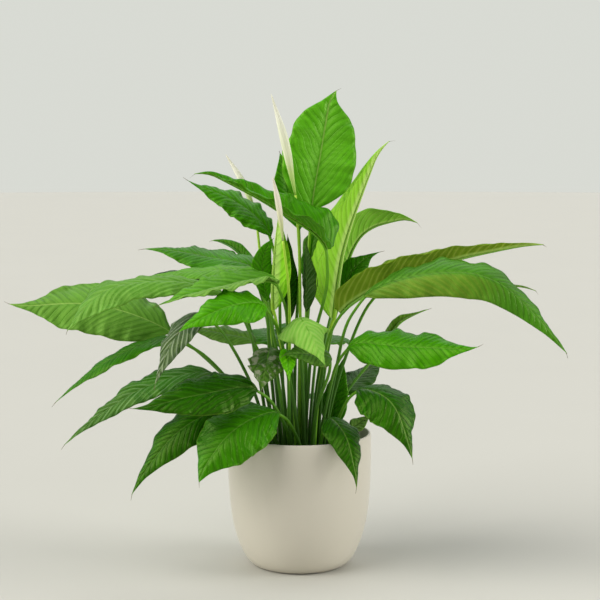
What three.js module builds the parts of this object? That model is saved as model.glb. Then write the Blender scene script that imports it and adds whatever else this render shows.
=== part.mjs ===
// Potted peace lily: a clump of long-stalked leaves and three closed flowers in a plain round pot.
// Millimetres, +Z up, origin in the middle of the pot's flat underside, the plant's front facing -Y.
import * as THREE from 'three';

// ---------- driving dimensions ----------
const POT_HEIGHT = 168;
const POT_RIM_RADIUS = 90;
const POT_WALL = 4;
const POT_FLOOR = 6;
const POT_SIDES = 40;
const SOIL_TOP = 138;
const GAP = 0.35;                 // clearance between touching pieces
const CROWN_Z = SOIL_TOP + GAP;   // the stalks start here
const STALK_RADIUS = 2.1;
const STALK_TOP_RADIUS = 1.5;
const BLADE_THICKNESS = 1.1;
const RIB_DEPTH = 1.5;
const SCAPE_RADIUS = 2.0;

// Outside of the pot from the underside to the rim: [radius, height].
const POT_OUTSIDE = [
  [55, 0], [60, 1.5], [66, 8], [72.5, 18], [79.5, 36], [84.5, 56], [88, 82], [90, 119],
  [POT_RIM_RADIUS, POT_HEIGHT - 1.5], [POT_RIM_RADIUS - 1.2, POT_HEIGHT],
];
const POT_INSIDE = [
  [POT_RIM_RADIUS - POT_WALL + 1.2, POT_HEIGHT], [POT_RIM_RADIUS - POT_WALL, POT_HEIGHT - 1.5],
  [86, 119], [84, 82], [80.5, 56], [75, 36], [67, 18], [58, 8.5], [48, POT_FLOOR],
];

// How wide a blade is along its length, as a share of its full width.
const BLADE_STATIONS = [0, 0.07, 0.18, 0.32, 0.47, 0.62, 0.77, 0.89, 0.96];
const BLADE_SHAPE = [0.05, 0.45, 0.82, 1.0, 0.98, 0.82, 0.5, 0.2, 0.07];
// The same for a leaf that is broad at its foot and tapers early.
const EARLY_TAPER = [0.3, 0.86, 1.0, 0.95, 0.76, 0.56, 0.36, 0.17, 0.07];
// The same for a leaf that stays full towards its tip.
const FULL_TIP = [0.05, 0.42, 0.78, 0.98, 1.0, 0.88, 0.6, 0.29, 0.11];
const STALK_STATIONS = [0, 0.14, 0.27, 0.4];
// Where the sine of the angle between a leaf's run and the way it faces is under this, the leaf keeps
// the across direction of the part of the blade beyond.
const SQUARE_ON = 0.86;

// ---------- the leaves ----------
// crown: [distance from the middle, heading in degrees] of the stalk's foot
// neck, middle, tip: points on the midrib; wide: blade width; face: where the upper side looks
// fold: how far the two halves close towards the upper side, in degrees (below zero they droop)
// shape: the blade's outline where it isn't the usual one
const LEAVES = {
  leaf_top: { crown: [8, 50], neck: [15, 16, 445], middle: [27, 31, 520], tip: [40, 50, 595],
    wide: 95, face: [0.1, -1, 0.2], fold: 12 },
  leaf_behind_top: { crown: [18, 113], neck: [0, 45, 420], middle: [-15, 55, 470],
    tip: [-25, 60, 520], wide: 40, face: [0.3, -1, 0.1], fold: 10 },
  leaf_fountain: { crown: [18, 3], neck: [40, 15, 310], middle: [55, 25, 400],
    tip: [105, 40, 535], wide: 84, face: [-1, -0.15, 0.2], fold: 48 },
  leaf_right_high: { crown: [18, 40], neck: [50, 60, 345], middle: [82, 74, 414],
    tip: [150, 88, 435], wide: 74, face: [-0.6, 0, 0.8], fold: 50 },
  leaf_right_long: { crown: [18, -33], neck: [50, -10, 320], middle: [170, -20, 380],
    tip: [300, -30, 410], wide: 60, face: [-0.15, 0.1, 1], fold: 58, shape: EARLY_TAPER },
  leaf_right_arch: { crown: [29, -12], neck: [78, -37, 343], middle: [220, -78, 372],
    tip: [320, -92, 285], wide: 62, face: [0.15, -0.75, 0.65], fold: -25 },
  leaf_right_hidden: { crown: [29, 14], neck: [110, 20, 355], middle: [200, 40, 352],
    tip: [305, 60, 345], wide: 30, face: [0, -0.3, 1], fold: 15 },
  leaf_right_mid: { crown: [29, -37], neck: [58, -36, 280], middle: [130, -70, 285],
    tip: [210, -95, 285], wide: 62, face: [0, -0.7, 0.7], fold: -15 },
  leaf_right_sliver: { crown: [40, 36], neck: [110, 70, 270], middle: [130, 90, 295],
    tip: [165, 110, 310], wide: 18, face: [-0.5, -0.5, 0.7], fold: 30 },
  leaf_right_low: { crown: [40, -25], neck: [70, -50, 230], middle: [110, -85, 220],
    tip: [135, -105, 160], wide: 70, face: [0.35, -0.8, 0.6], fold: -20 },
  leaf_front_right_drop: { crown: [40, -54], neck: [35, -50, 195], middle: [55, -85, 180],
    tip: [70, -110, 125], wide: 46, face: [0.3, -0.8, 0.5], fold: -20 },
  leaf_front_centre: { crown: [18, -70], neck: [0, -34, 310], middle: [5, -92, 318],
    tip: [30, -135, 275], wide: 68, face: [-0.1, -0.4, 0.9], fold: -35 },
  leaf_front_inner: { crown: [29, -62], neck: [40, -46, 268], middle: [15, -60, 275],
    tip: [-20, -90, 280], wide: 40, face: [-0.2, -0.75, 0.7], fold: -10 },
  leaf_front_crinkled: { crown: [40, 246], neck: [-35, -45, 280], middle: [-40, -80, 265],
    tip: [-45, -100, 240], wide: 46, face: [-0.1, -0.8, 0.6], fold: -15 },
  leaf_front_small: { crown: [40, 252], neck: [-14, -62, 280], middle: [-14, -82, 270],
    tip: [-12, -97, 250], wide: 20, face: [0.2, -0.9, 0.3], fold: 0 },
  leaf_left_long: { crown: [40, 180], neck: [-160, -5, 295], middle: [-255, 5, 328],
    tip: [-360, 10, 325], wide: 78, face: [0.05, -0.75, 0.65], fold: -15 },
  leaf_left_arch: { crown: [29, 195], neck: [-90, -30, 345], middle: [-225, -62, 357],
    tip: [-280, -75, 310], wide: 54, face: [0, -0.42, 0.91], fold: -20 },
  leaf_left_pale: { crown: [18, 243], neck: [-26, -38, 359], middle: [-95, -80, 358],
    tip: [-165, -95, 340], wide: 58, face: [0, -0.28, 0.96], fold: 16 },
  leaf_left_back: { crown: [29, 143], neck: [-50, 40, 365], middle: [-120, 60, 385],
    tip: [-195, 80, 395], wide: 62, face: [0, -0.4, 0.9], fold: -10 },
  leaf_left_slim: { crown: [29, 169], neck: [-55, 10, 365], middle: [-125, 15, 370],
    tip: [-205, 20, 360], wide: 42, face: [0, -0.3, 0.95], fold: -10 },
  leaf_left_dark: { crown: [40, 162], neck: [-85, 45, 345], middle: [-155, 70, 360],
    tip: [-225, 90, 345], wide: 40, face: [0, -0.5, 0.85], fold: -10 },
  leaf_left_high: { crown: [18, 185], neck: [-35, -5, 415], middle: [-75, 5, 455],
    tip: [-135, 10, 480], wide: 52, face: [0.6, -0.6, 0.6], fold: -10 },
  leaf_crown_left: { crown: [8, 320], neck: [35, -24, 400], middle: [-25, -24, 448],
    tip: [-125, -12, 500], wide: 72, face: [0.5, -0.3, 0.8], fold: 35, shape: EARLY_TAPER },
  leaf_front_left: { crown: [29, 272], neck: [-38, -72, 333], middle: [-80, -115, 340],
    tip: [-140, -140, 315], wide: 54, face: [0, -0.75, 0.65], fold: -10 },
  leaf_left_striped: { crown: [40, 211], neck: [-115, -60, 325], middle: [-145, -100, 305],
    tip: [-170, -125, 250], wide: 44, face: [-0.4, -0.6, 0.7], fold: -15 },
  leaf_left_low: { crown: [40, 198], neck: [-150, -30, 290], middle: [-225, -45, 270],
    tip: [-295, -55, 220], wide: 44, face: [-0.3, -0.25, 0.9], fold: -10 },
  leaf_left_lower: { crown: [40, 225], neck: [-105, -50, 250], middle: [-190, -80, 236],
    tip: [-280, -95, 175], wide: 42, face: [-0.3, -0.6, 0.75], fold: -10 },
  leaf_low_dark: { crown: [40, 264], neck: [-50, -80, 235], middle: [-115, -115, 235],
    tip: [-190, -140, 220], wide: 60, face: [-0.1, -0.75, 0.65], fold: -10 },
  leaf_low_left: { crown: [40, 240], neck: [-65, -50, 210], middle: [-140, -90, 190],
    tip: [-200, -115, 120], wide: 60, face: [-0.35, -0.75, 0.55], fold: -15 },
  leaf_front_broad: { crown: [40, 278], neck: [-25, -70, 205], middle: [-80, -115, 190],
    tip: [-120, -140, 140], wide: 76, face: [-0.25, -0.85, 0.5], fold: -15, shape: FULL_TIP },
  leaf_left_inner: { crown: [40, 144], neck: [-55, 5, 280], middle: [-95, 22, 290],
    tip: [-145, 40, 295], wide: 34, face: [0, -0.5, 0.85], fold: -10 },
  leaf_left_sliver: { crown: [40, 126], neck: [-55, 70, 355], middle: [-85, 95, 392],
    tip: [-115, 105, 405], wide: 22, face: [0.4, -0.5, 0.7], fold: 30 },
  leaf_upright_left: { crown: [18, 221], neck: [-40, -14, 335], middle: [-46, -20, 385],
    tip: [-33, -20, 415], wide: 26, face: [0.4, -0.9, 0], fold: 0 },
  leaf_furled: { crown: [8, 230], neck: [-30, -20, 325], middle: [-30, -18, 385],
    tip: [-25, -18, 445], wide: 40, face: [0.9, -0.4, 0], fold: 70 },
  leaf_upright_dark: { crown: [8, 140], neck: [-14, 22, 305], middle: [-13, 32, 365],
    tip: [-15, 45, 415], wide: 30, face: [0.7, -0.7, 0], fold: 10 },
  leaf_upright_curled: { crown: [8, 5], neck: [8, -4, 320], middle: [9, 0, 370],
    tip: [8, -4, 410], wide: 30, face: [-0.7, -0.6, 0.2], fold: -20 },
  leaf_right_inner: { crown: [29, 40], neck: [50, 30, 330], middle: [70, 42, 370],
    tip: [95, 55, 390], wide: 38, face: [-0.4, -0.75, 0.4], fold: 0 },
  leaf_right_shade: { crown: [40, 54], neck: [48, 52, 205], middle: [80, 92, 225],
    tip: [110, 130, 240], wide: 46, face: [-0.2, -0.6, 0.75], fold: -10 },
  leaf_right_upright: { crown: [40, 18], neck: [40, 18, 170], middle: [46, 22, 210],
    tip: [56, 28, 260], wide: 34, face: [-0.3, -0.9, 0.2], fold: 0 },
  leaf_rim_small: { crown: [40, 0], neck: [65, 10, 170], middle: [75, 15, 175],
    tip: [90, 20, 185], wide: 22, face: [-0.2, -0.7, 0.7], fold: 0 },
  leaf_low_back_left: { crown: [47, 153], neck: [-70, 20, 190], middle: [-95, 50, 195],
    tip: [-125, 75, 180], wide: 36, face: [0, -0.4, 0.9], fold: -10 },
  leaf_upright_back: { crown: [18, 88], neck: [14, 42, 350], middle: [16, 52, 395],
    tip: [24, 62, 425], wide: 36, face: [-0.3, -0.9, 0.1], fold: 0 },
  leaf_back_middle: { crown: [29, 92], neck: [0, 70, 285], middle: [-5, 130, 290],
    tip: [-10, 185, 275], wide: 60, face: [0, 0.3, 0.95], fold: -15 },
  leaf_back_right: { crown: [29, 66], neck: [25, 60, 270], middle: [45, 120, 275],
    tip: [60, 170, 260], wide: 56, face: [0.2, 0.3, 0.9], fold: -15 },
  leaf_back_left: { crown: [40, 90], neck: [-24, 60, 268], middle: [-52, 120, 283],
    tip: [-75, 165, 268], wide: 56, face: [-0.2, 0.3, 0.9], fold: -15 },
  leaf_back_low: { crown: [40, 72], neck: [25, 50, 200], middle: [35, 100, 200],
    tip: [45, 140, 180], wide: 50, face: [0.1, 0.4, 0.85], fold: -15 },
};

// ---------- the flowers: a bare stalk carrying a closed white spathe ----------
const FLOWERS = {
  front: { crown: [0, 0], bend: [0, 3, 385], neck: [-5, 3, 465], middle: [-19, 1, 535],
    tip: [-35, -4, 590], wide: 11 },
  left: { crown: [29, 240], bend: [-13, -34, 345], neck: [-20, -54, 412], middle: [-25, -61, 455],
    tip: [-32, -66, 490], wide: 9 },
  back: { crown: [29, 118], bend: [-48, 50, 370], neck: [-56, 58, 440], middle: [-72, 65, 478],
    tip: [-95, 75, 515], wide: 9 },
};

// ---------- builders ----------
const vec = (a) => new THREE.Vector3(...a);
const foot = ([radius, heading], z = CROWN_Z) => {
  const a = THREE.MathUtils.degToRad(heading);
  return new THREE.Vector3(radius * Math.cos(a), radius * Math.sin(a), z);
};

function finish(geometry, name, colour, roughness) {
  geometry.computeVertexNormals();
  const material = new THREE.MeshStandardMaterial({ color: colour, roughness, metalness: 0 });
  const mesh = new THREE.Mesh(geometry, material);
  mesh.name = name;
  return mesh;
}

// Skins a row of rings, closed at each end by a fan to a point.
function loft(rings, start, end) {
  const sides = rings[0].length;
  const points = [start, ...rings.flat(), end];
  const last = points.length - 1;
  const at = (ring, k) => 1 + ring * sides + (k % sides);
  const index = [];
  for (let k = 0; k < sides; k++) {
    index.push(0, at(0, k + 1), at(0, k));
    for (let r = 0; r + 1 < rings.length; r++) {
      index.push(at(r, k), at(r + 1, k + 1), at(r + 1, k));
      index.push(at(r, k), at(r, k + 1), at(r + 1, k + 1));
    }
    index.push(last, at(rings.length - 1, k), at(rings.length - 1, k + 1));
  }
  const geometry = new THREE.BufferGeometry().setFromPoints(points);
  geometry.setIndex(index);
  return geometry;
}

// Frames along a curve: the across direction is set by where the blade faces, and carried down the
// stalk and over any bend where the leaf runs nearly the way it faces.
function frames(curve, params, face) {
  const out = [];
  let across = null;
  for (const t of [...params].reverse()) {
    const tangent = curve.getTangent(t);
    const level = new THREE.Vector3().crossVectors(tangent, face);
    const wanted = !across || (t >= 0.5 && level.length() > SQUARE_ON) ? level : across.clone();
    wanted.addScaledVector(tangent, -wanted.dot(tangent)).normalize();
    across = wanted;
    out.push({ at: curve.getPoint(t), across, up: new THREE.Vector3().crossVectors(across, tangent) });
  }
  return out.reverse();
}

const place = (f, a, b) => f.at.clone().addScaledVector(f.across, a).addScaledVector(f.up, b);

function leaf(name, spec) {
  const base = foot(spec.crown);
  const neck = vec(spec.neck);
  const knee = new THREE.Vector3(
    base.x + (neck.x - base.x) * 0.3, base.y + (neck.y - base.y) * 0.3, base.z + (neck.z - base.z) * 0.5);
  const curve = new THREE.CatmullRomCurve3([base, knee, neck, vec(spec.middle), vec(spec.tip)], false);
  const params = [...STALK_STATIONS, ...BLADE_STATIONS.map((s) => 0.5 + 0.5 * s)];
  const rows = frames(curve, params, vec(spec.face).normalize());
  const fold = THREE.MathUtils.degToRad(spec.fold);
  const rings = rows.map((f, i) => {
    const s = i - STALK_STATIONS.length;
    if (s < 0) {
      const r = THREE.MathUtils.lerp(STALK_RADIUS, STALK_TOP_RADIUS, params[i] / 0.5);
      return [...Array(8).keys()].map((k) => {
        const a = Math.PI - k * Math.PI / 4;
        return place(f, r * Math.cos(a), r * Math.sin(a));
      });
    }
    const half = Math.max(spec.wide / 2 * (spec.shape ?? BLADE_SHAPE)[s], 1.2);
    const rib = RIB_DEPTH * (1 - 0.8 * BLADE_STATIONS[s]);
    const cos = Math.cos(fold);
    const sin = Math.sin(fold);
    const lift = half * 0.07;
    const skin = BLADE_THICKNESS / 2;
    const side = (k, d) => {
      const out = Math.abs(k);
      return [k * half * cos, out * half * sin + d + 4 * lift * out * (1 - out)];
    };
    return [side(-1, 0), side(-0.5, skin), [0, skin], side(0.5, skin), side(1, 0), side(0.5, -skin),
      [0, -skin - rib], side(-0.5, -skin)].map(([a, b]) => place(f, a, b));
  });
  const start = base.clone();
  rings[0].forEach((p) => { p.z = base.z; });
  return finish(loft(rings, start, vec(spec.tip)), name, 0x3f7d2a, 0.45);
}

function rod(points, radii, sides, name, colour) {
  const curve = new THREE.CatmullRomCurve3(points, false);
  const params = radii.map((r, i) => i / (radii.length - 1));
  const rows = frames(curve, params, new THREE.Vector3(0.2, -1, 0.1).normalize());
  const rings = rows.map((f, i) => [...Array(sides).keys()].map((k) => {
    const a = Math.PI - k * 2 * Math.PI / sides;
    return place(f, radii[i] * Math.cos(a), radii[i] * Math.sin(a));
  }));
  return finish(loft(rings, curve.getPoint(0), curve.getPoint(1)), name, colour, 0.5);
}

function flower(name, spec) {
  const neck = vec(spec.neck);
  const lead = vec(spec.middle).sub(neck).normalize();
  const base = foot(spec.crown);
  const radii = [1, 1, 0.95, 0.9, 0.85, 0.8, 0.8].map((k) => k * SCAPE_RADIUS);
  const stalk = rod([base, vec(spec.bend), neck], radii, 8, `flower_stalk_${name}`, 0x8fb83f);
  const first = neck.clone().addScaledVector(lead, GAP);
  const swell = [0.3, 0.55, 0.85, 1, 0.95, 0.72, 0.4, 0.12].map((k) => k * spec.wide / 2);
  const spathe = rod([first, vec(spec.middle), vec(spec.tip)], swell, 8, `spathe_${name}`, 0xe9efcf);
  return [stalk, spathe];
}

function turned(profile, name, colour, roughness) {
  const points = profile.map(([r, z]) => new THREE.Vector2(r, z));
  const geometry = new THREE.LatheGeometry(points, POT_SIDES);
  geometry.rotateX(Math.PI / 2);
  return finish(geometry, name, colour, roughness);
}

function pot() {
  return turned([[0, 0], ...POT_OUTSIDE, ...POT_INSIDE, [0, POT_FLOOR]], 'pot', 0xe4e1d6, 0.45);
}

// The soil fills the pot to just below the rim, a little heaped in the middle.
function soil() {
  const side = POT_INSIDE.filter(([, z]) => z < SOIL_TOP - 6).reverse().map(([r, z]) => [r - GAP, z + GAP]);
  return turned([[0, POT_FLOOR + GAP], ...side, [86 - GAP, SOIL_TOP - 3], [60, SOIL_TOP], [0, SOIL_TOP]],
    'soil', 0x2c2019, 0.95);
}

// ---------- assembly ----------
const group = new THREE.Group();
group.name = 'potted_peace_lily';
group.add(pot(), soil());
for (const [name, spec] of Object.entries(LEAVES)) group.add(leaf(name, spec));
for (const [name, spec] of Object.entries(FLOWERS)) group.add(...flower(name, spec));

export default group;
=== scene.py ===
import math
import random

import bmesh
import bpy
from bpy.props import FloatProperty, FloatVectorProperty, IntProperty, PointerProperty
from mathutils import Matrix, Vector, noise


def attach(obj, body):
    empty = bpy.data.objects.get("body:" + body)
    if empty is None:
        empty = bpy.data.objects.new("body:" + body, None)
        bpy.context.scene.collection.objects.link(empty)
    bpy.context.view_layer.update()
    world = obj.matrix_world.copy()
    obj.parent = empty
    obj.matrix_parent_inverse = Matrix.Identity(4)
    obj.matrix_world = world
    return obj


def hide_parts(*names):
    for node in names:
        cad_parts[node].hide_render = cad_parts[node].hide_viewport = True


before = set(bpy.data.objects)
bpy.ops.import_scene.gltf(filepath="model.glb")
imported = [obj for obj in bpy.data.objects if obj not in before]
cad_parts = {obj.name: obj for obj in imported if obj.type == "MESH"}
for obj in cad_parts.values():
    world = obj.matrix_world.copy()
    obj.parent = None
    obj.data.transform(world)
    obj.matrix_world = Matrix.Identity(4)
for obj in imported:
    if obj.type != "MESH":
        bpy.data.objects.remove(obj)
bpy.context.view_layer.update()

bl_info = {
    "name": "Potted peace lily",
    "version": (1, 0, 0),
    "blender": (4, 5, 0),
    "location": "3D View > Sidebar > Peace lily",
    "description": "Grows the leaves, flowers, soil and pot of a potted peace lily on its packed frame",
    "category": "Object",
}

# Looks of a leaf that has none of its own, and what each means:
LEAF_TYPICAL = dict(
    tone=0.40,  # from 0, old dark green, to 1, fresh yellow green; the top of the range also paints light glowing through a leaf
    stalk=0.42,  # the same for its stalk
    pale=0.0,  # a pale bloom on the upper side, partly a painted sheen
    pale_and_sheen_half=0,  # -1 or 1 puts most of the pale bloom and painted sheen on the left or right half
    olive=0.0,  # the bronzed green of a turned-over blade
    olive_half=0,  # -1 or 1 bronzes the left or right half of the first stretch
    stripe=0.0,  # painted highlights in light lines along the veins
    dry=0.0,  # scorched patches
    rib=0.0,  # a light and thicker midrib
    lean=1.0,  # how far the veins run forward with the midrib
    wave=1.6,  # height of the wavy margin, in millimetres
    waves=4,  # waves along the margin
    crumple=0.0,  # depth of a crinkled blade, in millimetres
    hook=(0, 0, -3),  # how far the tip bends away, in millimetres
    swell=(0.5, 0.0),  # a place along the blade, and the share of its width by which it is wider there
)
LEAF_LOOKS = {
    "leaf_top": dict(tone=0.66, stalk=0.9, pale=0.10, rib=0.45, lean=1.3, swell=(0.84, 0.45), wave=2.4,
                     hook=(7, 0, 1)),
    "leaf_behind_top": dict(tone=0.55, wave=1.0, waves=3),
    # Full tone paints light glowing through this leaf and lifts it out of its shade.
    "leaf_fountain": dict(tone=1.0, stalk=1.0, rib=1.0, pale=0.2, lean=1.8, swell=(0.3, 0.2), waves=3,
                          hook=(9, 0, -2)),
    # High tone and pale bloom paint light onto this leaf, which faces away into shade.
    "leaf_right_high": dict(tone=0.84, pale=0.4, rib=0.3, lean=1.6, waves=3, hook=(4, 0, -9)),
    "leaf_right_long": dict(tone=0.60, olive=0.85, rib=0.3, lean=1.8, wave=2.2, waves=5, hook=(0, 0, -4)),
    "leaf_right_arch": dict(tone=0.42, olive_half=1, pale=0.12, lean=1.4, wave=2.4, waves=5, hook=(0, 0, -6)),
    "leaf_right_hidden": dict(tone=0.35, olive=0.5, wave=1.2, hook=(0, 0, -5)),
    "leaf_right_mid": dict(tone=0.56, swell=(0.72, 0.2), wave=2.4, hook=(4, 0, 4)),
    "leaf_right_sliver": dict(tone=0.45, olive=0.4, wave=0.8, waves=2, hook=(5, 0, 1)),
    "leaf_right_low": dict(tone=0.31, stalk=0.5, rib=0.15, lean=1.3, swell=(0.6, 0.18), wave=2.0,
                           hook=(0, 0, -6)),
    "leaf_front_right_drop": dict(tone=0.30, rib=0.1, waves=3, hook=(-2, 0, -5)),
    "leaf_front_centre": dict(tone=0.72, pale=0.9, swell=(0.35, 0.12), wave=3.2, waves=3, crumple=1.2),
    "leaf_front_inner": dict(tone=0.36, pale=0.25, wave=1.4, waves=3),
    "leaf_front_crinkled": dict(tone=0.30, pale=0.2, wave=3.0, dry=1.0, crumple=2.2),
    "leaf_front_small": dict(tone=0.75, wave=0.8, waves=2),
    "leaf_left_long": dict(tone=0.52, pale=0.45, rib=0.4, swell=(0.72, 0.35), wave=2.4, waves=5,
                           hook=(-6, 0, 4)),
    "leaf_left_arch": dict(tone=0.55, pale=0.40, stripe=0.15, lean=2.4, swell=(0.8, 0.45), wave=2.2, waves=5,
                           hook=(0, 0, -5)),
    "leaf_left_pale": dict(tone=0.52, pale=0.65, pale_and_sheen_half=-1, lean=2.2, wave=3.0, waves=5, hook=(-4, 0, -2)),
    "leaf_left_back": dict(tone=0.50, wave=2.0, hook=(-8, 0, -2)),
    "leaf_left_slim": dict(tone=0.58, pale=0.35, wave=1.4),
    "leaf_left_dark": dict(tone=0.12, wave=1.2, waves=3),
    "leaf_left_high": dict(tone=0.50, lean=1.4, wave=2.6, hook=(-5, 0, 4)),
    "leaf_crown_left": dict(tone=0.50, wave=3.6, hook=(-5, 0, -8)),
    "leaf_front_left": dict(tone=0.60, wave=2.6),
    "leaf_left_striped": dict(tone=0.14, stripe=1.0, lean=2.6, wave=1.8, waves=3, hook=(0, 0, -4)),
    "leaf_left_low": dict(tone=0.42, wave=1.4, hook=(-4, 0, -6)),
    "leaf_left_lower": dict(tone=0.36, stripe=0.40, lean=2.4, wave=2.0, waves=5, hook=(-3, 0, -6)),
    "leaf_low_dark": dict(tone=0.26, lean=2.4, wave=1.8, hook=(-6, 0, 2)),
    "leaf_low_left": dict(tone=0.30, lean=1.3, wave=2.0, hook=(0, 0, -7)),
    "leaf_front_broad": dict(tone=0.42, swell=(0.72, 0.2), wave=2.2, waves=5, hook=(2, 0, -6)),
    "leaf_left_inner": dict(pale=0.45, waves=3),
    "leaf_left_sliver": dict(wave=0.6, waves=2),
    "leaf_upright_left": dict(tone=0.55, wave=0.8, waves=2),
    "leaf_furled": dict(tone=0.92, stalk=1.0, rib=0.7, lean=3.0, wave=0.5, waves=2),
    "leaf_upright_dark": dict(tone=0.24, swell=(0.7, -0.3), wave=0.8, waves=2),
    "leaf_upright_back": dict(swell=(0.5, -0.4), wave=0.6),
    "leaf_upright_curled": dict(tone=0.22, stripe=0.2, swell=(0.8, -0.3), wave=1.0, waves=3),
    "leaf_right_inner": dict(tone=0.42, wave=1.2, waves=3, hook=(8, 0, 1)),
    "leaf_right_shade": dict(tone=0.24, wave=1.4, waves=3),
    "leaf_right_upright": dict(tone=0.45, stalk=0.8, wave=0.8, waves=2),
    "leaf_rim_small": dict(tone=0.32, pale=0.5, wave=0.6, waves=2),
    "leaf_low_back_left": dict(tone=0.30, wave=1.2, waves=3),
}
WHOLE_LEAF_LOOKS = ("tone", "stalk", "stripe", "dry", "rib")  # the looks that are the same all over one leaf
BLADE_LAYERS = (*WHOLE_LEAF_LOOKS, "pale", "olive", "run", "vein", "edge")

# A frame leaf is a skin over rings of eight points, the first four on its stalk.
RING = 8
STALK_RINGS = 4
FRAME_HALF_SKIN = 0.00055  # from the upper side of a frame blade to its middle
CROWN = Vector((0, 0, 0.138))  # where the stalks come out of the soil

# A grown leaf, in metres
BLADE_THICKNESS = 0.00055
ROW_LENGTH = 0.0016  # along the blade, from one row of its faces to the next
ROWS = (36, 150)  # the fewest and the most rows
BLADE_END = 0.997  # share of the blade's length at its last row, where the width is nearly nothing
TIP_BENDS_FROM = 0.86  # share of the blade's length
NECK_RADIUS = 0.0017
DRY_POINT = 0.005
DRY_POINT_RADII = (0.00042, 0.00018)

# Pot: radius and height, in metres, from the middle of its underside round to the middle of its floor
POT_OUTSIDE = [
    (0.0, 0.0018), (0.046, 0.0018), (0.0500, 0.0002), (0.0545, 0.0), (0.0590, 0.0012), (0.0650, 0.0064),
    (0.0722, 0.0168), (0.0795, 0.0352), (0.0848, 0.0560), (0.0883, 0.0830), (0.0899, 0.1160),
    (0.0900, 0.1400),
]
POT_LIP = [(0.0900, 0.1655), (0.0894, 0.1673), (0.0880, 0.1680), (0.0868, 0.1676), (0.0861, 0.1662)]
POT_INSIDE = [
    (0.0859, 0.1400), (0.0858, 0.1160), (0.0840, 0.0820), (0.0800, 0.0540), (0.0740, 0.0340),
    (0.0660, 0.0170), (0.0560, 0.0078), (0.0, 0.0060),
]
SOIL_RADIUS = 0.0852
SOIL_LEVEL = 0.1368
SOIL_UNDERSIDE = 0.118

MIDRIB_GREEN = (0.52, 0.76, 0.18)
COLOUR_ONE, COLOUR_OTHER, COLOUR_RESULT = 6, 7, 2  # the colour sockets of a Mix node


# ---------- node materials ----------
class Varying:
    """A number that changes over a surface. Arithmetic on it adds Math nodes."""

    def __init__(self, finish, socket):
        self.finish = finish
        self.socket = socket

    def maths(self, operation, *others):
        return self.finish.number("ShaderNodeMath", {"operation": operation}, [self, *others])

    def __add__(self, other):
        return self.maths("ADD", other)

    def __radd__(self, other):
        return self.maths("ADD", other)

    def __sub__(self, other):
        return self.maths("SUBTRACT", other)

    def __rsub__(self, other):
        return self.finish.number("ShaderNodeMath", {"operation": "SUBTRACT"}, [other, self])

    def __mul__(self, other):
        return self.maths("MULTIPLY", other)

    def __rmul__(self, other):
        return self.maths("MULTIPLY", other)

    def __abs__(self):
        return self.maths("ABSOLUTE")

    def fraction(self):
        return self.maths("FRACT")

    def least(self, other):
        return self.maths("MINIMUM", other)

    def step(self, low, high, to_low=0.0, to_high=1.0):
        """Smoothly from to_low, where this is at low, to to_high, where it is at high."""
        return self.finish.number("ShaderNodeMapRange", {"interpolation_type": "SMOOTHSTEP"},
                                  [self, low, high, to_low, to_high], "Result")


class Finish:
    """One material and its nodes."""

    def __init__(self, name):
        self.material = bpy.data.materials.new(name)
        self.material.use_nodes = True
        self.tree = self.material.node_tree
        self.surface = next(n for n in self.tree.nodes if n.type == "BSDF_PRINCIPLED")

    def node(self, kind, settings, inputs):
        made = self.tree.nodes.new(kind)
        for key, value in settings.items():
            if key == "stops":
                ramp = made.color_ramp
                while len(ramp.elements) < len(value):
                    ramp.elements.new(0.5)
                for element, (place, colour) in zip(ramp.elements, value):
                    element.position = place
                    element.color = (*colour, 1.0)
            else:
                setattr(made, key, value)
        pairs = inputs.items() if isinstance(inputs, dict) else enumerate(inputs)
        for key, value in pairs:
            self.feed(made.inputs[key], value)
        return made

    def feed(self, socket, value):
        if isinstance(value, Varying):
            self.tree.links.new(value.socket, socket)
        elif isinstance(value, (tuple, list)) and socket.type == "RGBA" and len(value) == 3:
            socket.default_value = (*value, 1.0)
        else:
            socket.default_value = value

    def number(self, kind, settings, inputs, output=0):
        return Varying(self, self.node(kind, settings, inputs).outputs[output])

    def place(self):
        """Where on the object a point is, in metres."""
        return self.number("ShaderNodeTexCoord", {}, [], "Object")

    def noise(self, vector, scale, detail=3.0, roughness=0.5):
        return self.number("ShaderNodeTexNoise", {}, {
            "Vector": vector, "Scale": scale, "Detail": detail, "Roughness": roughness}, "Fac")

    def layer(self, name):
        """A number stored on the piece's own vertices."""
        return self.number("ShaderNodeAttribute", {"attribute_name": name}, [], "Fac")

    def axis(self, vector, name):
        return self.number("ShaderNodeSeparateXYZ", {}, [vector], name)

    def across(self):
        """The piece's own map: metres across a blade, or the share of the way round a rod."""
        return self.axis(self.number("ShaderNodeUVMap", {"uv_map": "blade"}, []), "X")

    def ramp(self, factor, stops):
        return self.number("ShaderNodeValToRGB", {"stops": stops}, [factor], "Color")

    def mix(self, factor, one, other):
        return self.number("ShaderNodeMix", {"data_type": "RGBA"},
                           {"Factor": factor, COLOUR_ONE: one, COLOUR_OTHER: other}, COLOUR_RESULT)

    def relief(self, height, distance, strength):
        inputs = {"Height": height, "Distance": distance, "Strength": strength}
        return self.number("ShaderNodeBump", {}, inputs, "Normal")

    def wear(self, **sockets):
        """Sets the surface's own sockets, named with underscores for spaces."""
        for key, value in sockets.items():
            self.feed(self.surface.inputs[key.replace("_", " ").title().replace("Ior", "IOR")], value)
        return self.material


def vein_lines(finish):
    """Metres from the midrib, nearness to a side vein and to a fine vein, and streaks along the veins that
    serve as painted highlights.
    """
    across = finish.across()
    phase = finish.layer("vein")
    side = abs(phase.fraction() - 0.5) * 2.0
    fine = abs((phase * 5.0).fraction() - 0.5) * 2.0
    along_vein = finish.number("ShaderNodeCombineXYZ", {}, [phase * 1.7, across * 28.0, 0.0])
    return abs(across), side, fine, finish.noise(along_vein, 1.0, 5.0, 0.7)


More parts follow.
